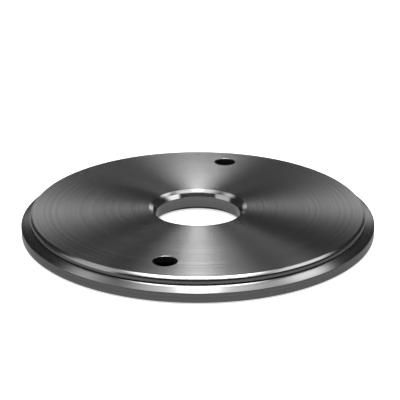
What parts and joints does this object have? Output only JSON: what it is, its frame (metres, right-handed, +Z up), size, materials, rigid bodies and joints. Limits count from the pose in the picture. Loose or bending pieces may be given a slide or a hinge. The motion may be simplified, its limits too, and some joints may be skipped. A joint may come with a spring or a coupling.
{
  "type": "banding wheel",
  "caption": "Low potter's banding wheel: a flat turned steel wheel head with a through bore and bat pin holes, spinning on a bevelled base plate over a hidden ball race.",
  "frame": {"origin": "centre of the spin axis, at the height of the feet's undersides", "axes": "+Z up along the spin axis; +X and +Y lie in the table plane, with the bat pin holes 77.4 degrees from +X at rest"},
  "size_m": [0.2, 0.2, 0.0125],
  "materials": {
    "turned_steel_head": "fine concentric turning lines, semi-bright",
    "turned_steel_base": "fine turned, semi-bright",
    "bored_steel": "bored, satin",
    "race_steel": "ground, bright",
    "ball_steel": "polished",
    "spring_steel": "phosphated, dark",
    "screw_steel": "zinc plated",
    "bronze": "sintered, oiled",
    "nylon": "moulded, matte",
    "felt": "pressed wool felt",
    "foot_rubber": "matte"
  },
  "bodies": {
    "base": {"base_plate": "turned_steel_base", "hub_bush": "bronze", "lower_race": "race_steel", "lower_race_screws": "screw_steel", "dust_seal": "felt", "foot_1": "foot_rubber", "foot_2": "foot_rubber", "foot_3": "foot_rubber", "foot_4": "foot_rubber", "foot_screws": "screw_steel"},
    "head": {"wheel_head": "turned_steel_head", "hub_sleeve": "bored_steel", "hub_screws": "screw_steel", "upper_race": "race_steel", "upper_race_screws": "screw_steel", "thrust_washer": "race_steel", "wave_washer": "spring_steel", "circlip": "spring_steel"},
    "cage": {"ball_cage": "nylon", "bearing_balls": "ball_steel"}
  },
  "joints": [
    {"name": "head_spin", "type": "hinge", "parent": "base", "child": "head", "pos_m": [0, 0, 0.0125], "axis": [0, 0, 1], "continuous": true},
    {"name": "cage_spin", "type": "hinge", "parent": "base", "child": "cage", "pos_m": [0, 0, 0.0059], "axis": [0, 0, 1], "continuous": true}
  ],
  "couplings": [
    {"joint": "cage_spin", "follows": "head_spin", "ratio": 0.5}
  ]
}
